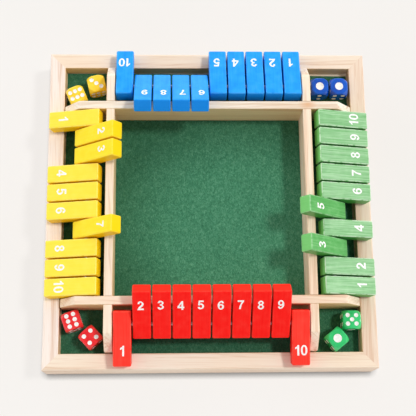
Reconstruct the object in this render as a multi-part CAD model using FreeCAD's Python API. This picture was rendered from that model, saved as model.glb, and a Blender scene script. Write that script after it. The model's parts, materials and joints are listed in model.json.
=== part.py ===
import FreeCAD, Part
import math
import os

# Four-player wooden number game: a mitred frame with a felt-lined floor, four cross-lapped
# dividers, four rows of ten numbered tiles that flip on steel rods, and four pairs of dice.
# Millimetres. X runs left to right, Y away from the near player, Z up.
# The origin is the middle of the frame at the height of its underside.

Vector = FreeCAD.Vector
X_AXIS = Vector(1, 0, 0)
Y_AXIS = Vector(0, 1, 0)
Z_AXIS = Vector(0, 0, 1)
ORIGIN = Vector(0, 0, 0)

# Rails of the frame
frame_side = 290.0
rail_width = 14.0
rail_height = 36.0
rail_outer_round = 1.4
rail_inner_round = 0.7

# Floor panel, set in a groove round the rails, and its felt
panel_thickness = 4.0
groove_depth = 5.0
felt_thickness = 1.0
felt_margin = 0.8
felt_drop = 11.0

# Dice
die_side = 16.0
die_edge_round = 1.2
die_sphere = 22.2
pip_diameter = 3.9
pip_depth = 0.45
one_pip_diameter = 7.6
one_pip_depth = 0.7
pip_reach = 3.7
six_long_reach = 4.7
six_short_reach = 3.0

# Each corner well holds this many dice side by side, with this much room to spare
dice_per_well = 2
well_room = 7.25

# Dividers
divider_thickness = 7.5
divider_height = 30.8
divider_end_gap = 0.9
divider_end_run = 14.0
divider_end_drop = 16.0
divider_end_round = 3.0
divider_edge_round = 0.8
lap_gap = 0.1
lap_height_share = 0.5

# Rods that carry the tiles
rod_diameter = 3.0
rod_drop = 5.6
rod_inset = 23.4
rod_seat_depth = 5.0
rod_seat_gap = 0.02
rod_end_gap = 0.3

# Tiles
tile_count = 10
tile_length = 47.0
tile_thickness = 12.5
tile_tail = 11.5
tile_round = 1.4
tile_gap = 1.25
tile_bore_gap = 0.08
rest_gap = 0.05

# One overrun serves all cuts
overrun = 2.0

# Rows, each with its turn about Z from the near side, and the tiles that lie flipped inward
row_turn_degrees = {"red": 0, "green": 90, "blue": 180, "yellow": 270}
TURNED_IN = {"red": "2 3 4 5 6 7 8 9", "green": "3 5", "blue": "6 7 8 9", "yellow": "2 3 7"}

# Corner well of each colour, as shares of the well's distance from the middle along X and Y
well_side_shares = {"red": (-1, -1), "green": (1, -1), "blue": (1, 1), "yellow": (-1, 1)}

# Each die: its colour and the face on top, its turn about Z, and its place from the middle
# of its well in shares of a die
DICE = {
    "red_die_a": ("red", "six"),
    "red_die_b": ("red", "four"),
    "green_die_a": ("green", "five"),
    "green_die_b": ("green", "one"),
    "blue_die_a": ("blue", "one"),
    "blue_die_b": ("blue", "one"),
    "yellow_die_a": ("yellow", "six"),
    "yellow_die_b": ("yellow", "three"),
}
die_turn_degrees = {
    "red_die_a": 19.7,
    "red_die_b": 42.9,
    "green_die_a": 0.0,
    "green_die_b": 38.7,
    "blue_die_a": 0.0,
    "blue_die_b": 90.0,
    "yellow_die_a": 113.5,
    "yellow_die_b": -76.8,
}
die_place_shares = {
    "red_die_a": (-0.53, 0.53),
    "red_die_b": (0.485, -0.355),
    "green_die_a": (0.69, 0.49),
    "green_die_b": (-0.137, -0.525),
    "blue_die_a": (-0.53, 0.04),
    "blue_die_b": (0.585, 0.04),
    "yellow_die_a": (-0.56, -0.48),
    "yellow_die_b": (0.57, 0.19),
}

# Places of the pips on each face, as shares of the reach along the face's two axes
pip_place_shares = {
    "one": ((0, 0),),
    "two": ((0, -1), (0, 1)),
    "three": ((-1, 1), (0, 0), (1, -1)),
    "four": ((-1, -1), (-1, 1), (1, -1), (1, 1)),
    "five": ((-1, -1), (-1, 1), (0, 0), (1, -1), (1, 1)),
    "six": ((-1, -1), (-1, 1), (0, -1), (0, 1), (1, -1), (1, 1)),
}

# Outward direction and two axes of each face of a die
FACE_AXES = {
    "one": (Z_AXIS, X_AXIS, Y_AXIS),
    "two": (-Y_AXIS, X_AXIS, Z_AXIS),
    "three": (X_AXIS, Y_AXIS, Z_AXIS),
    "four": (-X_AXIS, Y_AXIS, Z_AXIS),
    "five": (Y_AXIS, X_AXIS, Z_AXIS),
    "six": (-Z_AXIS, Y_AXIS, X_AXIS),
}

# Axis and turn that bring each face of a die to the top
FACE_UP = {
    "one": X_AXIS,
    "two": X_AXIS,
    "three": Y_AXIS,
    "four": Y_AXIS,
    "five": X_AXIS,
    "six": X_AXIS,
}
face_up_degrees = {"one": 0, "two": -90, "three": -90, "four": 90, "five": 90, "six": 180}

# Places that follow from the sizes above
half_side = frame_side / 2
inner_half = half_side - rail_width
felt_top = rail_height - felt_drop
panel_top = felt_top - felt_thickness
panel_bottom = panel_top - panel_thickness
channel_width = dice_per_well * die_side + well_room
divider_outer = inner_half - channel_width
tray_half = divider_outer - divider_thickness
divider_half_length = inner_half - divider_end_gap
divider_top = felt_top + divider_height
lap_height = divider_height * lap_height_share
rod_offset = inner_half - rod_inset
rod_height = divider_top - rod_drop
tile_pitch = 2 * tray_half / tile_count
tile_width = tile_pitch - tile_gap
well_middle = (inner_half + divider_outer) / 2


def outline(points, rounds):
    # Closed wire through corner points, each corner rounded by its own radius.
    edges = []
    starts = []
    ends = []
    count = len(points)
    for index in range(count):
        corner = points[index]
        before = (points[index - 1] - corner).normalize()
        after = (points[(index + 1) % count] - corner).normalize()
        if rounds[index] == 0:
            starts.append(corner)
            ends.append(corner)
            continue
        half_angle = before.getAngle(after) / 2
        setback = rounds[index] / math.tan(half_angle)
        bisector = (before + after).normalize()
        bulge = rounds[index] / math.sin(half_angle) - rounds[index]
        starts.append(corner + before * setback)
        ends.append(corner + after * setback)
        edges.append(Part.Arc(starts[index], corner + bisector * bulge, ends[index]).toShape())
    for index in range(count):
        edges.append(Part.LineSegment(ends[index - 1], starts[index]).toShape())
    return Part.Wire(Part.__sortEdges__(edges))


def turned(shape, degrees):
    # Copy turned about the upright axis through the middle of the frame.
    copy = shape.copy()
    copy.rotate(ORIGIN, Z_AXIS, degrees)
    return copy


def near_rail():
    # Grooved moulding, rounded along its top, cut to a mitre at both ends.
    outer = -half_side
    inner = -inner_half
    groove = inner - groove_depth
    points = [
        Vector(-half_side, outer, 0),
        Vector(-half_side, inner, 0),
        Vector(-half_side, inner, panel_bottom),
        Vector(-half_side, groove, panel_bottom),
        Vector(-half_side, groove, panel_top),
        Vector(-half_side, inner, panel_top),
        Vector(-half_side, inner, rail_height),
        Vector(-half_side, outer, rail_height),
    ]
    rounds = [0, 0, 0, 0, 0, 0, rail_inner_round, rail_outer_round]
    bar = Part.Face(outline(points, rounds)).extrude(X_AXIS * frame_side)
    corners = [Vector(-half_side, outer, 0), Vector(half_side, outer, 0), ORIGIN]
    mitre = Part.Face(outline(corners, [0, 0, 0])).extrude(Z_AXIS * rail_height)
    return bar.common(mitre)


def base_panel():
    # Square panel that fills the groove on all four sides.
    half = inner_half + groove_depth
    return Part.makeBox(2 * half, 2 * half, panel_thickness, Vector(-half, -half, panel_bottom))


def felt_lining():
    # One sheet over the whole floor, cut a little short of the rails.
    half = inner_half - felt_margin
    return Part.makeBox(2 * half, 2 * half, felt_thickness, Vector(-half, -half, panel_top))


def rod_seat(place):
    # Blind hole for a rod end, bored from the tray side of the near divider.
    radius = rod_diameter / 2 + rod_seat_gap
    start = Vector(place, -tray_half + overrun, rod_height)
    return Part.makeCylinder(radius, rod_seat_depth + overrun, start, -Y_AXIS)


def lap_slot(place, bottom, height):
    # Slot that takes the crossing divider.
    width = divider_thickness + 2 * lap_gap
    depth = divider_thickness + 2 * overrun
    corner = Vector(place - width / 2, -divider_outer - overrun, bottom)
    return Part.makeBox(width, depth, height, corner)


def near_divider(slot_from_top):
    # Board with sloping ends, eased edges, two lap slots and two rod seats.
    half = divider_half_length
    shoulder = divider_top - divider_end_drop
    points = [
        Vector(-half, -divider_outer, felt_top),
        Vector(half, -divider_outer, felt_top),
        Vector(half, -divider_outer, shoulder),
        Vector(half - divider_end_run, -divider_outer, divider_top),
        Vector(divider_end_run - half, -divider_outer, divider_top),
        Vector(-half, -divider_outer, shoulder),
    ]
    rounds = [0, 0] + [divider_end_round] * len(points[2:])
    board = Part.Face(outline(points, rounds)).extrude(Y_AXIS * divider_thickness)
    level = shoulder - divider_end_round
    upper = [edge for edge in board.Edges if edge.CenterOfMass.z > level]
    upper = [edge for edge in upper if edge.BoundBox.YLength < divider_thickness / 2]
    board = board.makeFillet(divider_edge_round, upper)
    bottom = felt_top - overrun
    height = lap_height + overrun
    if slot_from_top:
        bottom = felt_top + lap_height
        height = divider_height - lap_height + overrun
    crossing = divider_outer - divider_thickness / 2
    slots = [lap_slot(side * crossing, bottom, height) for side in (-1, 1)]
    seats = [rod_seat(side * rod_offset) for side in (-1, 1)]
    return board.cut(slots + seats)


def near_rod():
    # Steel rod whose ends stand in the seats of the two crossing dividers.
    half = tray_half + rod_seat_depth - rod_end_gap
    start = Vector(-half, -rod_offset, rod_height)
    return Part.makeCylinder(rod_diameter / 2, 2 * half, start, X_AXIS)


def tile_blank():
    # Round-edged block, bored for the rod, with its free end towards the near side.
    corner = Vector(-tile_width / 2, tile_tail - tile_length, -tile_thickness / 2)
    block = Part.makeBox(tile_width, tile_length, tile_thickness, corner)
    block = block.makeFillet(tile_round, block.Edges)
    start = Vector(-tile_width / 2 - overrun, 0, 0)
    bore = Part.makeCylinder(rod_diameter / 2 + tile_bore_gap, tile_width + 2 * overrun, start, X_AXIS)
    return block.cut(bore)


def outward_tilt():
    # Angle below level at which the lower free edge comes to rest on the rail.
    reach = tile_length - tile_tail - tile_round
    depth = tile_thickness / 2 - tile_round
    fall = rod_height - rail_height - rest_gap - tile_round
    return math.asin(fall / math.hypot(reach, depth)) - math.atan2(depth, reach)


def inward_tilt():
    # Angle above level at which the lower face comes to rest on the divider's outer edge.
    run = rod_offset - divider_outer + divider_edge_round
    rise = divider_top - divider_edge_round - rod_height
    lift = tile_thickness / 2 + divider_edge_round + rest_gap
    return math.atan2(rise, run) + math.asin(lift / math.hypot(run, rise))


def near_tile(blank, number, turned_in):
    # Tile of one number in the near row, lying outward on the rail or inward on the divider.
    angle = outward_tilt()
    if turned_in:
        angle = inward_tilt() - math.pi
    place = (number - (tile_count + 1) / 2) * tile_pitch
    tile = blank.copy()
    tile.rotate(ORIGIN, X_AXIS, math.degrees(angle))
    tile.translate(Vector(place, -rod_offset, rod_height))
    return tile


def pip(face, share):
    # Ball that sinks one round pip into a face of the die.
    normal, across, along = FACE_AXES[face]
    reach_across = pip_reach
    reach_along = pip_reach
    diameter = pip_diameter
    depth = pip_depth
    if face == "one":
        diameter = one_pip_diameter
        depth = one_pip_depth
    if face == "six":
        reach_across = six_long_reach
        reach_along = six_short_reach
    radius = (diameter * diameter / 4 + depth * depth) / (2 * depth)
    place = normal * (die_side / 2 + radius - depth)
    place = place + across * (share[0] * reach_across) + along * (share[1] * reach_along)
    return Part.makeSphere(radius, place)


def die_blank():
    # Cube with eased edges, corners turned by a ball, and the pips sunk into its faces.
    half = die_side / 2
    cube = Part.makeBox(die_side, die_side, die_side, Vector(-half, -half, -half))
    cube = cube.makeFillet(die_edge_round, cube.Edges)
    body = cube.common(Part.makeSphere(die_sphere / 2))
    pips = [pip(face, share) for face in FACE_AXES for share in pip_place_shares[face]]
    return body.cut(pips)


def placed_die(blank, name):
    # Die with its top face up, turned and set down on the felt of its corner well.
    colour, top = DICE[name]
    across, along = die_place_shares[name]
    side_x, side_y = well_side_shares[colour]
    die = blank.copy()
    die.rotate(ORIGIN, FACE_UP[top], face_up_degrees[top])
    die.rotate(ORIGIN, Z_AXIS, die_turn_degrees[name])
    place_x = side_x * well_middle + across * die_side
    place_y = side_y * well_middle + along * die_side
    die.translate(Vector(place_x, place_y, felt_top + die_side / 2))
    return die


def build():
    # Every piece in its place, by name.
    pieces = {}
    rail = near_rail()
    lapped_over = near_divider(False)
    lapped_under = near_divider(True)
    for side, turn in (("front", 0), ("right", 90), ("back", 180), ("left", 270)):
        pieces["rail_" + side] = turned(rail, turn)
        board = lapped_over
        if side in ("left", "right"):
            board = lapped_under
        pieces["divider_" + side] = turned(board, turn)
    pieces["base_panel"] = base_panel()
    pieces["felt_lining"] = felt_lining()
    rod = near_rod()
    pieces["tile_rods"] = Part.Compound([turned(rod, turn) for turn in row_turn_degrees.values()])
    tile = tile_blank()
    for colour, turn in row_turn_degrees.items():
        for number in range(1, tile_count + 1):
            name = "%s_tile_%02d" % (colour, number)
            near = near_tile(tile, number, str(number) in TURNED_IN[colour].split())
            pieces[name] = turned(near, turn)
    die = die_blank()
    for name in DICE:
        pieces[name] = placed_die(die, name)
    return pieces


os.makedirs("parts", exist_ok=True)
for name, shape in build().items():
    shape.exportStep(os.path.join("parts", name + ".step"))
print("outward tilt %.4f degrees" % math.degrees(outward_tilt()))
print("inward tilt %.4f degrees" % math.degrees(inward_tilt()))
print("tile travel %.4f degrees" % math.degrees(math.pi - inward_tilt() + outward_tilt()))
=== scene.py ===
import json
import math

import bmesh
import bpy
from mathutils import Matrix, Vector, noise


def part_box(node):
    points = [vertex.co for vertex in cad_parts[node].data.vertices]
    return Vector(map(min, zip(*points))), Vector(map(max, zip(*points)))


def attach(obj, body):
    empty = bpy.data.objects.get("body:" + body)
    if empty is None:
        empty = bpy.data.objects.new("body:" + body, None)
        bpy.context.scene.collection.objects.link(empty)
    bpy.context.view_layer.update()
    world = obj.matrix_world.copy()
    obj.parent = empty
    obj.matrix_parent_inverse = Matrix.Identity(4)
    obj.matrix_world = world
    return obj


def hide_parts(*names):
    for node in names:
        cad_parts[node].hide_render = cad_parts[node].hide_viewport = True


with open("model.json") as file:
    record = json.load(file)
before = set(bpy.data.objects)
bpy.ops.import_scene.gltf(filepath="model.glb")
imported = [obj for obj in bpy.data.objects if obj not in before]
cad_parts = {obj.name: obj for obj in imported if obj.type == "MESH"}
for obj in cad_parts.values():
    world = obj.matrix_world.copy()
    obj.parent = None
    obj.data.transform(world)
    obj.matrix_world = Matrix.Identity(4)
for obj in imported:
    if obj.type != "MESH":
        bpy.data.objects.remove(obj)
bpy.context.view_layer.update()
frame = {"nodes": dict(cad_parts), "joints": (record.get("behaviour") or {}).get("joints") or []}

nodes = frame["nodes"]
jointOf = {joint["child"]: joint for joint in frame["joints"]}
scene = bpy.context.scene
rowTurns = {"red": 0, "green": 90, "blue": 180, "yellow": 270}  # degrees about Z from the near side
tileNumbers = range(1, 11)
print("stage 1: frame loaded,", len(nodes), "nodes")


# helpers for materials and pieces

def srgb(red, green, blue):
    linear = []
    for value in (red, green, blue):
        share = value / 255
        linear.append(share / 12.92 if share <= 0.04045 else ((share + 0.055) / 1.055) ** 2.4)
    return (*linear, 1.0)


def newMaterial(name, roughness, specular):
    material = bpy.data.materials.new(name)
    material.use_nodes = True
    shader = material.node_tree.nodes["Principled BSDF"]
    shader.inputs["Roughness"].default_value = roughness
    shader.inputs["Specular IOR Level"].default_value = specular
    return material, material.node_tree, shader


def objectSpace(tree, scale, shift=(0, 0, 0), turn=(0, 0, 0)):
    coordinates = tree.nodes.new("ShaderNodeTexCoord")
    mapping = tree.nodes.new("ShaderNodeMapping")
    mapping.inputs["Scale"].default_value = scale
    mapping.inputs["Location"].default_value = shift
    mapping.inputs["Rotation"].default_value = turn
    tree.links.new(coordinates.outputs["Object"], mapping.inputs["Vector"])
    return mapping.outputs["Vector"]


def evenSpace(tree, scale, shift=(0, 0, 0)):
    return objectSpace(tree, (scale, scale, scale), shift)


def noiseOn(tree, vector, detail=3.0, rough=0.5, distortion=0.0):
    node = tree.nodes.new("ShaderNodeTexNoise")
    node.inputs["Scale"].default_value = 1.0
    node.inputs["Detail"].default_value = detail
    node.inputs["Roughness"].default_value = rough
    node.inputs["Distortion"].default_value = distortion
    tree.links.new(vector, node.inputs["Vector"])
    return node.outputs["Fac"]


def ballOn(tree, vector):
    node = tree.nodes.new("ShaderNodeTexGradient")
    node.gradient_type = "SPHERICAL"
    tree.links.new(vector, node.inputs["Vector"])
    return node.outputs["Fac"]


def ramp(tree, factor, stops):
    node = tree.nodes.new("ShaderNodeValToRGB")
    while len(node.color_ramp.elements) < len(stops):
        node.color_ramp.elements.new(0.5)
    for element, (position, colour) in zip(node.color_ramp.elements, stops):
        element.position = position
        element.color = colour
    tree.links.new(factor, node.inputs["Fac"])
    return node.outputs["Color"]


def setOrLink(tree, socket, value):
    if isinstance(value, bpy.types.NodeSocket):
        tree.links.new(value, socket)
    else:
        socket.default_value = value


def blendColours(tree, factor, first, second, blend="MIX"):
    node = tree.nodes.new("ShaderNodeMix")
    node.data_type = "RGBA"
    node.blend_type = blend
    for socket, value in ((node.inputs[0], factor), (node.inputs[6], first), (node.inputs[7], second)):
        setOrLink(tree, socket, value)
    return node.outputs[2]


def mathOn(tree, operation, *values):
    node = tree.nodes.new("ShaderNodeMath")
    node.operation = operation
    for socket, value in zip(node.inputs, values):
        setOrLink(tree, socket, value)
    return node.outputs["Value"]


def fadeOver(tree, factor, start, end):
    node = tree.nodes.new("ShaderNodeMapRange")
    node.interpolation_type = "SMOOTHSTEP"
    node.inputs["From Min"].default_value = start
    node.inputs["From Max"].default_value = end
    tree.links.new(factor, node.inputs["Value"])
    return node.outputs["Result"]


def axesOf(tree, vector):
    node = tree.nodes.new("ShaderNodeSeparateXYZ")
    tree.links.new(vector, node.inputs["Vector"])
    return node.outputs


def bumpFrom(tree, shader, layers):
    normal = None
    for height, strength, distance in layers:
        node = tree.nodes.new("ShaderNodeBump")
        node.inputs["Strength"].default_value = strength
        node.inputs["Distance"].default_value = distance
        tree.links.new(height, node.inputs["Height"])
        if normal:
            tree.links.new(normal, node.inputs["Normal"])
        normal = node.outputs["Normal"]
    tree.links.new(normal, shader.inputs["Normal"])


def roughnessFrom(tree, shader, factor, low, high):
    node = tree.nodes.new("ShaderNodeMapRange")
    node.inputs["To Min"].default_value = low
    node.inputs["To Max"].default_value = high
    tree.links.new(factor, node.inputs["Value"])
    tree.links.new(node.outputs["Result"], shader.inputs["Roughness"])


def setMaterial(thing, material):
    thing.data.materials.clear()
    thing.data.materials.append(material)


def newObject(name, form):
    mesh = bpy.data.meshes.new(name)
    form.to_mesh(mesh)
    form.free()
    thing = bpy.data.objects.new(name, mesh)
    scene.collection.objects.link(thing)
    return thing


def finishPiece(name, form, material, body):
    piece = newObject(name, form)
    setMaterial(piece, material)
    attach(piece, body)
    return piece


def tileName(colour, number):
    return "%s_tile_%02d" % (colour, number)


# pine rails and dividers, each board with its own stretch of grain

pine = {
    "pale": srgb(253, 243, 229),
    "middle": srgb(249, 234, 217),
    "late": srgb(222, 184, 152),  # late wood, the thin darker lines
    "tints": (srgb(255, 252, 249), srgb(253, 238, 222)),  # slow drift of tone along the board
    "tintShare": 0.6,
    "wallShade": (0.90, 0.78, 0.54, 1),  # painted shade: upright faces are browner and darker than the sanded tops
    "outerShade": (0.98, 0.94, 0.92, 1),  # the outer faces, which are sanded too, with a painted shade a little darker than the tops
    "skin": (0.0005, 0.00005),  # depths below an upright face between which its tone comes in
    "stain": srgb(226, 164, 104),
    "stainSpread": (110.0, 190.0, 190.0),
    "stainStrength": 1.5,
    "grain": (3.2, 170.0),  # cycles per metre along and across the board
    "fine": 3.6,  # fine lines per broad line
    "fineShare": 0.42,
    "flecks": (38.0, 1500.0),  # short resin marks, along and across
    "fleckShare": 0.7,
    "clouds": 11.0,
    "ringLines": (14.0, 180.0),  # the year rings' lines drift slowly across the board
    "wander": 4.5,
    "lineShare": 0.34,
    "nextBoard": (3.7, 5.3, 2.9),  # from one board's stretch of grain to the next
    "rough": (0.42, 0.62),
    "broadRelief": (0.15, 0.0003),  # strength and depth of the bump
    "fineRelief": (0.2, 0.00012),
}
boards = {  # run along X or not, stretch of grain, own tone, middle and half width of the board in metres
    "rail_front": (True, 0, (0.945, 0.945, 0.935, 1), 0.138, 0.007),
    "rail_back": (True, 1, (0.95, 0.91, 0.87, 1), 0.138, 0.007),
    "rail_left": (False, 2, (0.985, 1.015, 1.11, 1), 0.138, 0.007),
    "rail_right": (False, 3, (0.925, 0.885, 0.87, 1), 0.138, 0.007),
    "divider_front": (True, 4, (0.96, 0.935, 0.90, 1), 0.088, 0.00375),
    "divider_back": (True, 5, (0.985, 1.06, 1.10, 1), 0.088, 0.00375),
    "divider_left": (False, 6, (1.0, 1.0, 0.98, 1), 0.088, 0.00375),
    "divider_right": (False, 7, (1.0, 0.98, 0.94, 1), 0.088, 0.00375),
}
litWallBoard = "divider_right"  # its inner side gets none of the painted shade, so it is as pale as its top
stains = {"divider_back": (0.0885, 0.0885, 0.0555)}  # an amber mark beside the crossing


def boardSpace(tree, alongX, along, across, shift):
    scale = (along, across, across) if alongX else (across, along, across)
    return objectSpace(tree, scale, shift)


def ringLinesOn(tree, alongX, number, shift):
    along, across = pine["ringLines"]
    if number % 2:
        along = -along  # every other board drifts the other way
    wave = tree.nodes.new("ShaderNodeTexWave")
    wave.bands_direction = "DIAGONAL"
    wave.inputs["Scale"].default_value = 1.0
    wave.inputs["Distortion"].default_value = pine["wander"]
    wave.inputs["Detail"].default_value = 2.0
    wave.inputs["Detail Scale"].default_value = 1.0
    tree.links.new(boardSpace(tree, alongX, along, across, shift), wave.inputs["Vector"])
    return fadeOver(tree, wave.outputs["Fac"], start=0.62, end=1.0)


def pineMaterial(name, alongX, number, tone, middle, half):
    material, tree, shader = newMaterial("pine_" + name, roughness=0.55, specular=0.3)
    shift = tuple(number * step for step in pine["nextBoard"])
    along, across = pine["grain"]
    fineAlong, fineAcross = along * pine["fine"], across * pine["fine"]
    broad = noiseOn(tree, boardSpace(tree, alongX, along, across, shift), detail=2.0, distortion=0.9)
    fine = boardSpace(tree, alongX, fineAlong, fineAcross, shift)
    fine = noiseOn(tree, fine, detail=3.0, rough=0.6, distortion=0.3)
    fleck = noiseOn(tree, boardSpace(tree, alongX, *pine["flecks"], shift), detail=1.0)
    cloud = noiseOn(tree, evenSpace(tree, pine["clouds"], shift), detail=2.0)
    late, mid, pale = pine["late"], pine["middle"], pine["pale"]
    rings = ramp(tree, broad, [(0.30, late), (0.44, mid), (0.58, pale), (0.80, mid)])
    lines = ramp(tree, fine, [(0.28, late), (0.46, mid), (0.70, pale)])
    colour = blendColours(tree, pine["fineShare"], rings, lines)

    # year rings where the wood is dense, then drifting tone and resin flecks
    dense = fadeOver(tree, broad, start=0.62, end=0.38)
    ringLine = mathOn(tree, "MULTIPLY", ringLinesOn(tree, alongX, number, shift), dense)
    colour = blendColours(tree, mathOn(tree, "MULTIPLY", ringLine, pine["lineShare"]), colour, late)
    light, dark = pine["tints"]
    tint = ramp(tree, cloud, [(0.35, light), (0.68, dark)])
    colour = blendColours(tree, pine["tintShare"], colour, tint, "MULTIPLY")
    mark = mathOn(tree, "MULTIPLY", fadeOver(tree, fleck, start=0.68, end=0.78), pine["fleckShare"])
    colour = blendColours(tree, mark, colour, late)
    colour = blendColours(tree, 1.0, colour, tone, "MULTIPLY")

    # painted shade on upright faces, told apart by their distance from the board's middle
    place = axesOf(tree, evenSpace(tree, 1.0))
    outward = mathOn(tree, "ABSOLUTE", place["Y" if alongX else "X"])
    outward = mathOn(tree, "SUBTRACT", outward, middle)
    inward = mathOn(tree, "MULTIPLY", outward, -1.0)
    skin = [half - depth for depth in pine["skin"]]
    if name != litWallBoard:
        colour = blendColours(tree, fadeOver(tree, inward, *skin), colour, pine["wallShade"], "MULTIPLY")
    outerShade = pine["outerShade" if "rail" in name else "wallShade"]
    colour = blendColours(tree, fadeOver(tree, outward, *skin), colour, outerShade, "MULTIPLY")
    if name in stains:
        spread = pine["stainSpread"]
        centre = tuple(-value * size for value, size in zip(stains[name], spread))
        spot = mathOn(tree, "MULTIPLY", ballOn(tree, objectSpace(tree, spread, centre)), fine)
        spot = mathOn(tree, "MULTIPLY", spot, pine["stainStrength"])
        colour = blendColours(tree, spot, colour, pine["stain"])
    tree.links.new(colour, shader.inputs["Base Color"])
    roughnessFrom(tree, shader, fine, *pine["rough"])
    bumpFrom(tree, shader, [(broad, *pine["broadRelief"]), (fine, *pine["fineRelief"])])
    return material


for name, board in boards.items():
    setMaterial(nodes[name], pineMaterial(name, *board))
print("stage 2: pine boards")


# plywood floor under the felt, and the steel rods

plywood = {
    "face": srgb(248, 234, 208),
    "vein": srgb(232, 208, 172),
    "grain": (3.5, 210.0, 210.0),
    "pores": (30.0, 1100.0, 1100.0),
    "rough": (0.5, 0.72),
    "relief": (0.2, 0.0002),
}
panelMaterial, tree, shader = newMaterial("plywoodFace", roughness=0.6, specular=0.25)
vein = noiseOn(tree, objectSpace(tree, plywood["grain"]), detail=4.0, rough=0.6, distortion=0.8)
pore = noiseOn(tree, objectSpace(tree, plywood["pores"]), detail=2.0)
colour = ramp(tree, vein, [(0.3, plywood["vein"]), (0.6, plywood["face"])])
colour = blendColours(tree, fadeOver(tree, pore, start=0.62, end=0.74), colour, plywood["vein"])
tree.links.new(colour, shader.inputs["Base Color"])
roughnessFrom(tree, shader, vein, *plywood["rough"])
bumpFrom(tree, shader, [(vein, *plywood["relief"])])
setMaterial(nodes["base_panel"], panelMaterial)

steel = {
    "bright": srgb(214, 214, 216),
    "dull": srgb(168, 168, 172),
    "scratches": 850.0,
    "rough": (0.22, 0.42),
    "relief": (0.1, 0.00004),
}
rodMaterial, tree, shader = newMaterial("drawnSteel", roughness=0.3, specular=0.5)
shader.inputs["Metallic"].default_value = 1.0
scratch = noiseOn(tree, evenSpace(tree, steel["scratches"]), detail=2.0)
colour = ramp(tree, scratch, [(0.3, steel["dull"]), (0.66, steel["bright"])])
tree.links.new(colour, shader.inputs["Base Color"])
roughnessFrom(tree, shader, scratch, *steel["rough"])
bumpFrom(tree, shader, [(scratch, *steel["relief"])])
setMaterial(nodes["tile_rods"], rodMaterial)
print("stage 3: floor panel and rods")


# painted tiles: the wood's grain shows as streaks along each tile, and the edges are rubbed pale

tiles = {
    "length": 0.047,
    "width": 0.0156,
    "thickness": 0.0125,
    "tail": 0.0115,  # from the rod to the near end
    "pitch": 0.01685,  # from one tile to the next
    "outwardTilt": 13.6316,  # degrees below level
    "inwardTilt": 40.2701,  # degrees above level
}
turnedIn = {"red": (2, 3, 4, 5, 6, 7, 8, 9), "green": (3, 5), "blue": (6, 7, 8, 9), "yellow": (2, 3, 7)}
paints = {  # streak, mottle and rubbed are shares of grain, clouds and rubbed edges; the share after rubbed is of a painted sheen on the face up before play, in the same pale tone as the rubbed edges
    "red": {
        "base": srgb(255, 33, 27), "thin": srgb(255, 62, 52), "thick": srgb(250, 12, 10),
        "wearAndSheen": srgb(255, 118, 96), "end": srgb(255, 50, 34), "side": srgb(244, 26, 20),
        "streak": 0.4, "mottle": 0.35, "relief": 0.2, "specular": 0.08, "rubbed": 0.5, "paintedSheen": 0.4,
    },
    "green": {
        "base": srgb(80, 172, 80), "thin": srgb(150, 210, 146), "thick": srgb(49, 145, 51),
        "wearAndSheen": srgb(226, 248, 222), "end": srgb(122, 216, 118), "side": srgb(74, 166, 70),
        "streak": 0.48, "mottle": 0.25, "relief": 0.6, "specular": 0.48, "rubbed": 0.95, "paintedSheen": 0.38,
    },
    "blue": {
        "base": srgb(28, 162, 250), "thin": srgb(70, 182, 255), "thick": srgb(8, 134, 232),
        "wearAndSheen": srgb(104, 196, 255), "end": srgb(4, 140, 244), "side": srgb(4, 128, 234),
        "streak": 0.4, "mottle": 0.35, "relief": 0.2, "specular": 0.2, "rubbed": 0.4, "paintedSheen": 0.0,
    },
    "yellow": {
        "base": srgb(255, 230, 45), "thin": srgb(255, 237, 94), "thick": srgb(254, 218, 25),
        "wearAndSheen": srgb(255, 249, 160), "end": srgb(255, 217, 8), "side": srgb(255, 204, 4),
        "streak": 0.2, "mottle": 0.25, "relief": 0.15, "specular": 0.10, "rubbed": 0.5, "paintedSheen": 0.3,
    },
}
streaks = {
    "across": 820.0,
    "along": 24.0,
    "mottles": 150.0,
    "spread": 0.24,  # smooth paint shows little grain in its painted sheen
    "rough": (0.32, 0.44),
    "depth": 0.00025,
    "mottleRelief": (0.08, 0.0002),
}
edges = {"inner": 0.0004, "outer": 0.0012, "patches": 260.0}  # rubbed band, from the two nearest faces
flankShading = {"inner": 0.0001, "outer": 0.0006, "share": 0.85}  # ends and sides take tones of their own: painted shade, deeper than the top, on most, and painted light on the green and red ends
outerFace = {"inner": 0.0002, "outer": 0.0012, "otherEdges": 0.35}  # the face up before play carries a painted sheen, and its edges are rubbed most


def tileTilt(colour, number):
    return tiles["inwardTilt"] - 180 if number in turnedIn[colour] else tiles["outwardTilt"]


def tileSpace(tree, colour, tilt, rod):
    coordinates = tree.nodes.new("ShaderNodeTexCoord")
    mapping = tree.nodes.new("ShaderNodeMapping")  # across the row, along the tile, through it
    mapping.vector_type = "TEXTURE"
    mapping.inputs["Location"].default_value = rod
    mapping.inputs["Rotation"].default_value = (math.radians(tilt), 0, math.radians(rowTurns[colour]))
    tree.links.new(coordinates.outputs["Object"], mapping.inputs["Vector"])
    return mapping.outputs["Vector"]


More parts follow.
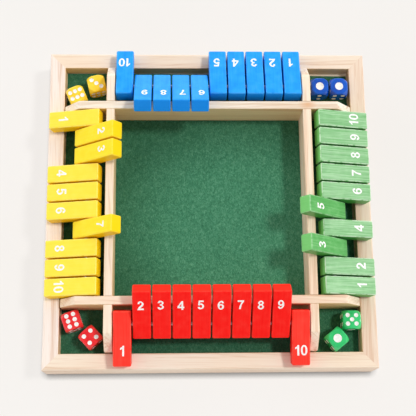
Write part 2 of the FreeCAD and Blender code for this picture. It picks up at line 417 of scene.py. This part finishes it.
def tileMasks(tree, own):
    pitch = tiles["pitch"]
    half = Vector((tiles["width"], tiles["length"], tiles["thickness"])) / 2
    steps = (  # back to one tile about its middle, then the depth below each pair of faces
        ("ADD", ((pitch / 2, half.y - tiles["tail"], 0),)),
        ("WRAP", ((pitch / 2, 1, 1), (-pitch / 2, -1, -1))),
        ("ABSOLUTE", ()),
        ("MULTIPLY_ADD", ((-1, -1, -1), half)),
    )
    vector = own
    for operation, values in steps:
        node = tree.nodes.new("ShaderNodeVectorMath")
        node.operation = operation
        tree.links.new(vector, node.inputs[0])
        for socket, value in zip(node.inputs[1:], values):
            socket.default_value = value
        vector = node.outputs["Vector"]
    across, along, through = axesOf(tree, vector)
    second = mathOn(tree, "MINIMUM", mathOn(tree, "MAXIMUM", across, along), through)
    second = mathOn(tree, "MAXIMUM", mathOn(tree, "MINIMUM", across, along), second)  # second smallest depth
    rubbed = fadeOver(tree, second, edges["outer"], edges["inner"])
    # ends and sides, painted in the shade and light they show
    ends = fadeOver(tree, along, flankShading["outer"], flankShading["inner"])
    sides = fadeOver(tree, across, flankShading["outer"], flankShading["inner"])
    # the face up before play, which carries a painted sheen
    height = axesOf(tree, own)["Z"]
    paintedSheen = fadeOver(tree, height, half.z - outerFace["outer"], half.z - outerFace["inner"])
    return rubbed, ends, sides, paintedSheen


def paintMaterial(name, colour, tilt, rod):
    paint = paints[colour]
    material, tree, shader = newMaterial(name, roughness=0.38, specular=paint["specular"])
    scale = (streaks["across"], streaks["along"], streaks["along"])
    if colour in ("green", "yellow"):
        scale = (streaks["along"], streaks["across"], streaks["along"])
    streak = noiseOn(tree, objectSpace(tree, scale), detail=3.0, rough=0.65)
    mottle = noiseOn(tree, evenSpace(tree, streaks["mottles"]), detail=3.0)
    patches = noiseOn(tree, evenSpace(tree, edges["patches"]), detail=2.0)
    tones = [(0.32, paint["thick"]), (0.5, paint["base"]), (0.72, paint["thin"])]
    tone = blendColours(tree, paint["streak"], paint["base"], ramp(tree, streak, tones))
    tone = blendColours(tree, paint["mottle"], tone, ramp(tree, mottle, tones))
    rubbed, ends, sides, paintedSheen = tileMasks(tree, tileSpace(tree, colour, tilt, rod))
    spread = streaks["spread"] / paint["relief"]
    # painted sheen on the face up before play, broken by the grain
    pale = mathOn(tree, "MULTIPLY", paintedSheen, fadeOver(tree, streak, 0.5 - spread, 0.5 + spread))
    wearAndSheen = mathOn(tree, "MULTIPLY", rubbed, fadeOver(tree, patches, start=0.3, end=0.55))
    other = outerFace["otherEdges"]
    wearAndSheen = mathOn(tree, "MULTIPLY", wearAndSheen, mathOn(tree, "MULTIPLY_ADD", paintedSheen, 1 - other, other))
    coats = (  # where, how much and in which tone, one over the other: painted sheen, then painted shade and light on sides and ends, then rubbed edges
        (pale, paint["paintedSheen"], paint["wearAndSheen"]),
        (sides, flankShading["share"], paint["side"]),
        (ends, flankShading["share"], paint["end"]),
        (wearAndSheen, paint["rubbed"], paint["wearAndSheen"]),
    )
    for mask, share, coat in coats:
        tone = blendColours(tree, mathOn(tree, "MULTIPLY", mask, share), tone, coat)
    tree.links.new(tone, shader.inputs["Base Color"])
    roughnessFrom(tree, shader, mottle, *streaks["rough"])
    grain = (streak, paint["relief"], streaks["depth"])
    bumpFrom(tree, shader, [grain, (mottle, *streaks["mottleRelief"])])
    return material


for colour in rowTurns:
    first, last = (Vector(jointOf[tileName(colour, number)]["pos_m"]) for number in (1, len(tileNumbers)))
    rod = (first + last) / 2
    out = paintMaterial(colour + "TileOut", colour, tiles["outwardTilt"], rod)
    flipped = paintMaterial(colour + "TileIn", colour, tiles["inwardTilt"] - 180, rod)
    for number in tileNumbers:
        setMaterial(nodes[tileName(colour, number)], flipped if number in turnedIn[colour] else out)
print("stage 4: tile paint")


# white ink of the numbers and pips

ink = {
    "white": srgb(252, 252, 251),
    "grey": srgb(236, 236, 235),
    "specks": 420.0,
    "rough": (0.4, 0.58),
    "relief": (0.08, 0.0001),
}
whiteInk, tree, shader = newMaterial("whiteInk", roughness=0.5, specular=0.3)
speck = noiseOn(tree, evenSpace(tree, ink["specks"]), detail=3.0)
tree.links.new(ramp(tree, speck, [(0.3, ink["grey"]), (0.58, ink["white"])]), shader.inputs["Base Color"])
roughnessFrom(tree, shader, speck, *ink["rough"])
bumpFrom(tree, shader, [(speck, *ink["relief"])])


# numbers, drawn as flat outlines one unit high: r is a round point, c a corner

figures = {
    "0": ["r.330,1 r.660,.50 r.330,0 r0,.50", "r.330,.840 r.200,.50 r.330,.160 r.460,.50"],
    "1": ["c.460,0 c.460,1 c.305,1 r.215,.860 c.060,.765 c.060,.600 r.170,.650 c.268,.725 c.268,0"],
    "2": ["c0,0 c.660,0 c.660,.178 c.285,.178 r.375,.275 r.590,.490 r.650,.705 r.345,1 r.105,.915 "
          "c.025,.690 c.215,.665 r.250,.800 r.338,.842 r.452,.710 r.375,.545 r.130,.300"],
    "3": ["c.020,.745 c.208,.718 r.325,.846 r.440,.728 r.330,.600 c.258,.596 c.238,.438 r.330,.452 "
          "r.470,.302 r.328,.152 c.205,.276 c0,.250 r.095,.065 r.325,0 r.670,.290 r.510,.530 r.630,.740 "
          "r.330,1 r.095,.920"],
    "4": ["c.400,0 c.588,0 c.588,.200 c.705,.200 c.705,.362 c.588,.362 c.588,1 c.425,1 c0,.372 c0,.200 "
          "c.400,.200", "c.400,.362 c.172,.362 c.400,.708"],
    "5": ["c.105,1 c.615,1 c.615,.826 c.252,.826 c.222,.656 r.350,.680 r.660,.345 r.325,0 r.085,.075 "
          "c0,.255 c.200,.276 r.325,.152 r.462,.335 r.325,.518 c.188,.446 c.028,.470"],
    "6": ["c.640,.742 c.452,.722 r.352,.846 r.225,.735 c.192,.558 r.370,.652 r.660,.330 r.340,0 r0,.480 "
          "r.350,1 r.560,.920", "r.338,.492 r.205,.330 r.345,.152 r.468,.320"],
    "7": ["c0,1 c.650,1 c.650,.862 r.430,.520 c.330,0 c.132,0 r.222,.420 c.428,.822 c0,.822"],
    "8": ["r.330,1 r.622,.738 r.520,.532 r.662,.285 r.330,0 r0,.285 r.140,.532 r.038,.738",
          "r.330,.850 r.220,.728 r.330,.604 r.440,.728", "r.330,.458 r.195,.300 r.330,.148 r.465,.300"],
    "9": ["c.020,.258 c.208,.278 r.308,.154 r.435,.265 c.468,.442 r.290,.348 r0,.670 r.320,1 r.660,.520 "
          "r.310,0 r.100,.080", "r.322,.508 r.455,.670 r.315,.848 r.192,.680"],
}
numbers = {
    "height": 0.0089,
    "narrow": 0.955,  # width against the outlines above
    "innerSize": 0.96,  # the stamps on the inward faces are a little smaller
    "outerSet": {  # each row's stamps sit this far off, across and along the tile
        "red": (0, 0.0004),
        "green": (0.0004, 0.0005),
        "blue": (0.0007, 0.0004),
        "yellow": (-0.0003, 0.0009),
    },
    "innerSet": {
        "red": (-0.001, 0.0006),
        "green": (-0.001, 0.0006),
        "blue": (-0.0016, 0.0004),
        "yellow": (-0.0004, 0.0007),
    },
    "oneWidth": 0.46,  # of the figure 1, in figure heights
    "gap": 0.16,  # between the figures of 10
    "film": 0.004,  # half the ink's thickness, in figure heights
    "arcSteps": 5,  # straight pieces from one point of an outline to the next
    "weld": 0.000001,  # joins the faces of the ink to its edges
    "fromFreeEnd": 0.0128,  # to the middle of the number
    "wanderShift": 0.00022,  # hand-set stamps sit a little off
    "wanderTurn": 1.3,  # degrees
    "wanderWaves": (12.9, 4.7, 7.3),  # across, along and turn
}


def addContour(curve, contour, shift):
    points = contour.split()
    spline = curve.splines.new("BEZIER")
    spline.bezier_points.add(len(points) - 1)
    spline.use_cyclic_u = True
    for point, text in zip(spline.bezier_points, points):
        across, upward = text[1:].split(",")
        point.co = (float(across) + shift, float(upward), 0)
        kind = "AUTO" if text[0] == "r" else "VECTOR"
        point.handle_left_type = kind
        point.handle_right_type = kind


def numberMesh(text):
    curve = bpy.data.curves.new("numberOutline", "CURVE")
    curve.dimensions = "2D"
    curve.fill_mode = "BOTH"
    curve.resolution_u = numbers["arcSteps"]
    curve.extrude = numbers["film"]
    shift = 0.0
    for figure in text:
        for contour in figures[figure]:
            addContour(curve, contour, shift)
        shift += numbers["oneWidth"] + numbers["gap"]
    holder = bpy.data.objects.new("numberHolder", curve)
    scene.collection.objects.link(holder)
    bpy.context.view_layer.update()
    mesh = bpy.data.meshes.new_from_object(holder.evaluated_get(bpy.context.evaluated_depsgraph_get()))
    bpy.data.objects.remove(holder)
    acrosses = [vertex.co.x for vertex in mesh.vertices]
    middle = Vector(((min(acrosses) + max(acrosses)) / 2, 0.5, 0))
    size = Vector((numbers["narrow"], 1, 1, 1)) * numbers["height"]
    size.w = 1
    mesh.transform(Matrix.Diagonal(size) @ Matrix.Translation(-middle))
    return mesh


def numberPiece(colour, number, shape):
    name = tileName(colour, number)
    rowTurn = Matrix.Rotation(math.radians(rowTurns[colour]), 4, "Z")
    tilt = Matrix.Rotation(math.radians(tileTilt(colour, number)), 4, "X")
    seat = Matrix.Translation(Vector(jointOf[name]["pos_m"])) @ rowTurn @ tilt
    reach = tiles["length"] - tiles["tail"] - numbers["fromFreeEnd"]
    half = tiles["thickness"] / 2
    acrossWave, alongWave, turnWave = numbers["wanderWaves"]
    form = bmesh.new()
    for side, turn in ((1, 0), (-1, math.pi)):  # outward face, then the face that shows when flipped in
        key = rowTurns[colour] + number * 2 + side
        across, along = numbers["outerSet" if side > 0 else "innerSet"][colour]
        across += numbers["wanderShift"] * math.sin(key * acrossWave)
        along += numbers["wanderShift"] * math.sin(key * alongWave)
        wander = Matrix.Rotation(math.radians(numbers["wanderTurn"]) * math.sin(key * turnWave), 4, "Z")
        face = Matrix.Translation((across, along - reach, side * half)) @ Matrix.Rotation(turn, 4, "X")
        stamp = shape.copy()
        stamp.transform(seat @ face @ wander @ Matrix.Scale(1 if side > 0 else numbers["innerSize"], 4))
        form.from_mesh(stamp)
        bpy.data.meshes.remove(stamp)
    bmesh.ops.remove_doubles(form, verts=form.verts, dist=numbers["weld"])
    bmesh.ops.recalc_face_normals(form, faces=form.faces)
    finishPiece(name + "_number", form, whiteInk, name)


for number in tileNumbers:
    shape = numberMesh(str(number))
    for colour in rowTurns:
        numberPiece(colour, number, shape)
print("stage 5: numbers on both faces of every tile")


# dice plastic, and the ink in their pips

plastics = {
    "red": {"base": srgb(250, 54, 56), "deep": srgb(234, 34, 42)},
    "green": {"base": srgb(58, 212, 124), "deep": srgb(36, 188, 102)},
    "blue": {"base": srgb(0, 92, 208), "deep": srgb(0, 70, 180)},
    "yellow": {"base": srgb(255, 226, 66), "deep": srgb(252, 206, 36)},
}
moulded = {
    "clouds": 110.0,
    "scuffs": 700.0,
    "coat": 0.3,
    "coatRough": 0.05,
    "rough": (0.1, 0.22),
    "relief": (0.04, 0.0001),
}
for colour, plastic in plastics.items():
    material, tree, shader = newMaterial(colour + "Plastic", roughness=0.15, specular=0.5)
    shader.inputs["Coat Weight"].default_value = moulded["coat"]
    shader.inputs["Coat Roughness"].default_value = moulded["coatRough"]
    cloud = noiseOn(tree, evenSpace(tree, moulded["clouds"]), detail=2.0)
    tone = ramp(tree, cloud, [(0.3, plastic["deep"]), (0.6, plastic["base"])])
    tree.links.new(tone, shader.inputs["Base Color"])
    scuff = noiseOn(tree, evenSpace(tree, moulded["scuffs"]), detail=2.0)
    roughnessFrom(tree, shader, scuff, *moulded["rough"])
    bumpFrom(tree, shader, [(scuff, *moulded["relief"])])
    for letter in "ab":
        setMaterial(nodes["%s_die_%s" % (colour, letter)], material)

pips = {
    "side": 0.016,
    "diameter": 0.0039,
    "depth": 0.00045,
    "oneDiameter": 0.0076,
    "oneDepth": 0.0007,
    "reach": 0.0037,  # from the middle of a face to its outer pips
    "sixLong": 0.0047,
    "sixShort": 0.0030,
    "film": 0.00003,  # from the recess to the face of the ink
    "ink": 0.000024,  # its thickness
    "sides": 24,
    "rings": 60,  # of the whole ball that a pip is cut from
}
pipPlaces = {  # shares of the reach along each face's two axes
    1: ((0, 0),),
    2: ((0, -1), (0, 1)),
    3: ((-1, 1), (0, 0), (1, -1)),
    4: ((-1, -1), (-1, 1), (1, -1), (1, 1)),
    5: ((-1, -1), (-1, 1), (0, 0), (1, -1), (1, 1)),
    6: ((-1, -1), (-1, 1), (0, -1), (0, 1), (1, -1), (1, 1)),
}
right, away, up = Vector((1, 0, 0)), Vector((0, 1, 0)), Vector((0, 0, 1))
faceAxes = {  # the face's normal and two axes in it
    1: (up, right, away), 2: (-away, right, up), 3: (right, away, up),
    4: (-right, away, up), 5: (away, right, up), 6: (-up, away, right),
}
faceTurns = {1: ("X", 0), 2: ("X", -90), 3: ("Y", -90), 4: ("Y", 90), 5: ("X", 90), 6: ("X", 180)}
dice = {  # face on top and turn about Z
    "red_die_a": (6, 19.7), "red_die_b": (4, 42.9), "green_die_a": (5, 0.0), "green_die_b": (1, 38.7),
    "blue_die_a": (1, 0.0), "blue_die_b": (1, 90.0), "yellow_die_a": (6, 113.5), "yellow_die_b": (3, -76.8),
}


def pipShape(diameter, depth):
    radius = (diameter * diameter / 4 + depth * depth) / (2 * depth)
    form = bmesh.new()
    sides, rings = pips["sides"], pips["rings"]
    bmesh.ops.create_uvsphere(form, u_segments=sides, v_segments=rings, radius=radius - pips["film"])
    bmesh.ops.translate(form, verts=form.verts, vec=(0, 0, radius - depth))
    geometry = form.verts[:] + form.edges[:] + form.faces[:]
    bmesh.ops.bisect_plane(form, geom=geometry, plane_co=(0, 0, 0), plane_no=(0, 0, 1), clear_outer=True)
    bmesh.ops.reverse_faces(form, faces=form.faces)  # the hollow side shows
    bmesh.ops.solidify(form, geom=form.faces[:], thickness=pips["ink"])
    for face in form.faces:
        face.smooth = abs(face.normal.z) > 0.5  # all but the rim
    mesh = bpy.data.meshes.new("pipShape")
    form.to_mesh(mesh)
    form.free()
    return mesh


smallPip = pipShape(pips["diameter"], pips["depth"])
largePip = pipShape(pips["oneDiameter"], pips["oneDepth"])
for name, (top, turn) in dice.items():
    low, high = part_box(name)
    axis, angle = faceTurns[top]
    seat = Matrix.Translation((low + high) / 2) @ Matrix.Rotation(math.radians(turn), 4, "Z")
    seat = seat @ Matrix.Rotation(math.radians(angle), 4, axis)
    form = bmesh.new()
    for face, places in pipPlaces.items():
        normal, across, along = faceAxes[face]
        facing = normal.to_track_quat("Z", "Y").to_matrix().to_4x4()
        wide, deep = (pips["sixLong"], pips["sixShort"]) if face == 6 else (pips["reach"], pips["reach"])
        for stepAcross, stepAlong in places:
            middle = normal * (pips["side"] / 2) + across * (stepAcross * wide) + along * (stepAlong * deep)
            dot = (largePip if face == 1 else smallPip).copy()
            dot.transform(seat @ Matrix.Translation(middle) @ facing)
            form.from_mesh(dot)
            bpy.data.meshes.remove(dot)
    finishPiece(name + "_pips", form, whiteInk, name)
print("stage 6: dice and pips")


# felt sheet over the floor, cut a little askew along the far side

felt = {
    "base": srgb(65, 132, 99),
    "light": srgb(122, 186, 150),
    "dark": srgb(28, 80, 54),
    "drift": (16.0, 12.0, 16.0),  # slow change of tone over the sheet
    "driftShare": 0.28,
    "flecks": (420.0, 330.0, 420.0),
    "fleckTurn": (0, 0, 0.5),
    "fleckShare": 0.6,
    "fleckRelief": (0.5, 0.0005),
    "fibres": (1300.0, 700.0, 1300.0),
    "fibreShift": (3, 1, 0),
    "fibreTurn": (0, 0, -0.4),
    "fibreShare": 0.5,
    "fibreRelief": (0.7, 0.0003),
    "litPatch": ((-0.24, 0.19, 0), (8.0, 9.5, 0)),  # shift and scale of the lit patch; beyond it the felt is darkened as painted shade
    "patchShade": (0.58, 0.60, 0.58, 1),  # painted shade beyond that patch
    "sheen": 0.12,
    "sheenRough": 0.5,
    "cells": 150,
    "nap": 0.00012,  # depth of the fluff
    "napWaves": 210.0,
    "askew": 0.0030,
    "askewFrom": 0.30,  # share of the sheet where the slant starts
}
feltMaterial, tree, shader = newMaterial("feltNap", roughness=0.95, specular=0.08)
shader.inputs["Sheen Weight"].default_value = felt["sheen"]
shader.inputs["Sheen Roughness"].default_value = felt["sheenRough"]
tones = [(0.28, felt["dark"]), (0.5, felt["base"]), (0.74, felt["light"])]
drift = noiseOn(tree, objectSpace(tree, felt["drift"]), detail=2.0, distortion=0.6)
fleck = objectSpace(tree, felt["flecks"], turn=felt["fleckTurn"])
fleck = noiseOn(tree, fleck, detail=3.0, rough=0.62, distortion=0.4)
fibre = objectSpace(tree, felt["fibres"], felt["fibreShift"], felt["fibreTurn"])
fibre = noiseOn(tree, fibre, detail=3.0, rough=0.7, distortion=0.6)
colour = blendColours(tree, felt["driftShare"], felt["base"], ramp(tree, drift, tones))
colour = blendColours(tree, felt["fleckShare"], colour, ramp(tree, fleck, tones))
colour = blendColours(tree, felt["fibreShare"], colour, ramp(tree, fibre, tones))
# painted shade: the felt darkens away from a lit patch in the tray
shift, size = felt["litPatch"]
patch = ballOn(tree, objectSpace(tree, size, shift))
feltShade = ramp(tree, patch, [(0.0, felt["patchShade"]), (0.45, (1, 1, 1, 1))])
colour = blendColours(tree, 1.0, colour, feltShade, "MULTIPLY")
tree.links.new(colour, shader.inputs["Base Color"])
bumpFrom(tree, shader, [(fleck, *felt["fleckRelief"]), (fibre, *felt["fibreRelief"])])
low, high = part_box("felt_lining")
form = bmesh.new()
bmesh.ops.create_grid(form, x_segments=felt["cells"], y_segments=felt["cells"], size=0.5)
for vertex in form.verts:
    across, along = vertex.co.x + 0.5, vertex.co.y + 0.5  # shares of the sheet
    tuft = Vector((across, along, 0)) * felt["napWaves"]
    fluff = (noise.noise(tuft) - 1) * felt["nap"]
    far = high.y - felt["askew"] * max(0, across - felt["askewFrom"])
    vertex.co = Vector((low.x + across * (high.x - low.x), low.y + along * (far - low.y), high.z + fluff))
under = bmesh.ops.extrude_face_region(form, geom=form.faces[:])
for vertex in [item for item in under["geom"] if isinstance(item, bmesh.types.BMVert)]:
    vertex.co.z = low.z
bmesh.ops.recalc_face_normals(form, faces=form.faces)
feltSheet = finishPiece("felt_sheet", form, feltMaterial, "board")
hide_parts("felt_lining")
print("stage 7: felt")


# camera of the photograph

view = {
    "place": (-0.03278, -0.21886, 0.87892),
    "yaw": math.radians(-8.279),
    "pitch": math.radians(75.453),  # below level
    "roll": math.radians(-7.896),
    "focalPixels": 975.43,
    "framePixels": 416,
    "sensor": 36.0,
    "nearest": 0.01,
    "farthest": 20.0,
}
lens = bpy.data.cameras.new("camera")
lens.sensor_width = view["sensor"]
lens.lens = view["focalPixels"] / view["framePixels"] * view["sensor"]
lens.clip_start = view["nearest"]
lens.clip_end = view["farthest"]
camera = bpy.data.objects.new("camera", lens)
scene.collection.objects.link(camera)
level = Vector((math.cos(view["yaw"]), math.sin(view["yaw"]), 0))
ahead = Vector((-math.sin(view["yaw"]), math.cos(view["yaw"]), 0))
look = ahead * math.cos(view["pitch"]) - up * math.sin(view["pitch"])
rise = ahead * math.sin(view["pitch"]) + up * math.cos(view["pitch"])
cameraRight = level * math.cos(view["roll"]) - rise * math.sin(view["roll"])
cameraUp = level * math.sin(view["roll"]) + rise * math.cos(view["roll"])
axes = Matrix((cameraRight, cameraUp, -look)).transposed()
camera.matrix_world = Matrix.Translation(view["place"]) @ axes.to_4x4()
scene.camera = camera


# soft studio light from the right, and a pale floor

light = {
    "toward": Vector((0.56, 0.10, 1.0)),
    "strength": 1.40,
    "softness": math.radians(9),
    "colour": (1.0, 0.99, 0.97),
}
sky = {
    "horizon": 1.5,
    "shoulder": 1.0,
    "shoulderHeight": 0.35,
    "zenith": 0.28,
    "warmth": (1.0, 0.99, 0.98),
    "bright": (-0.3, 0.8, 0),  # the far left of the room is brighter than the viewer's side
    "dimSide": 0.4,
    "brightSide": 1.5,
    "windows": 0.3,  # more light from left and right
}
lamp = bpy.data.lights.new("keyLight", "SUN")
lamp.energy = light["strength"]
lamp.angle = light["softness"]
lamp.color = light["colour"]
key = bpy.data.objects.new("keyLight", lamp)
key.rotation_euler = light["toward"].to_track_quat("Z", "Y").to_euler()
key.location = light["toward"]
scene.collection.objects.link(key)
world = bpy.data.worlds.new("softStudio")
world.use_nodes = True
tree = world.node_tree
background = tree.nodes["Background"]
direction = tree.nodes.new("ShaderNodeTexCoord").outputs["Generated"]
parts = axesOf(tree, direction)
levels = [(0.0, sky["horizon"]), (sky["shoulderHeight"], sky["shoulder"]), (1.0, sky["zenith"])]
tones = [(height, (*(value * part for part in sky["warmth"]), 1)) for height, value in levels]
tree.links.new(ramp(tree, parts["Z"], tones), background.inputs["Color"])
facing = tree.nodes.new("ShaderNodeVectorMath")
facing.operation = "DOT_PRODUCT"
facing.inputs[1].default_value = sky["bright"]
tree.links.new(direction, facing.inputs[0])
spread = tree.nodes.new("ShaderNodeMapRange")
spread.inputs["From Min"].default_value = -1.0
spread.inputs["To Min"].default_value = sky["dimSide"]
spread.inputs["To Max"].default_value = sky["brightSide"]
tree.links.new(facing.outputs["Value"], spread.inputs["Value"])
windows = mathOn(tree, "MULTIPLY", mathOn(tree, "ABSOLUTE", parts["X"]), sky["windows"])
tree.links.new(mathOn(tree, "ADD", spread.outputs["Result"], windows), background.inputs["Strength"])
scene.world = world

ground = {
    "pale": srgb(247, 244, 241),
    "dim": srgb(243, 240, 236),
    "patches": 2.5,
    "half": 12.0,
    "shift": (4, -3, 0),  # keeps the face's diagonal out of sight
    "wash": 0.8,  # takes most of the shadow out of the pale floor
    "contact": 0.0065,  # but keeps the dark line where the frame meets it
}
floorMaterial, tree, shader = newMaterial("paleFloor", roughness=0.85, specular=0.1)
patch = noiseOn(tree, evenSpace(tree, ground["patches"]), detail=2.0)
tone = ramp(tree, patch, [(0.3, ground["dim"]), (0.7, ground["pale"])])
tree.links.new(tone, shader.inputs["Base Color"])
near = tree.nodes.new("ShaderNodeAmbientOcclusion")
near.inputs["Distance"].default_value = ground["contact"]
tree.links.new(tone, near.inputs["Color"])
glow = tree.nodes.new("ShaderNodeEmission")
tree.links.new(near.outputs["Color"], glow.inputs["Color"])
tree.links.new(near.outputs["AO"], glow.inputs["Strength"])
rays = tree.nodes.new("ShaderNodeLightPath").outputs
seen = mathOn(tree, "ADD", rays["Is Camera Ray"], rays["Is Glossy Ray"])
seen = mathOn(tree, "ADD", seen, rays["Is Transmission Ray"])
mixer = tree.nodes.new("ShaderNodeMixShader")
tree.links.new(mathOn(tree, "MULTIPLY", seen, ground["wash"]), mixer.inputs["Fac"])
tree.links.new(shader.outputs["BSDF"], mixer.inputs[1])
tree.links.new(glow.outputs["Emission"], mixer.inputs[2])
tree.links.new(mixer.outputs["Shader"], tree.nodes["Material Output"].inputs["Surface"])
form = bmesh.new()
bmesh.ops.create_grid(form, x_segments=1, y_segments=1, size=ground["half"])
bmesh.ops.translate(form, verts=form.verts, vec=ground["shift"])
floor = newObject("floor", form)
setMaterial(floor, floorMaterial)
scene.view_settings.view_transform = "Standard"
print("stage 8: camera, light and floor")
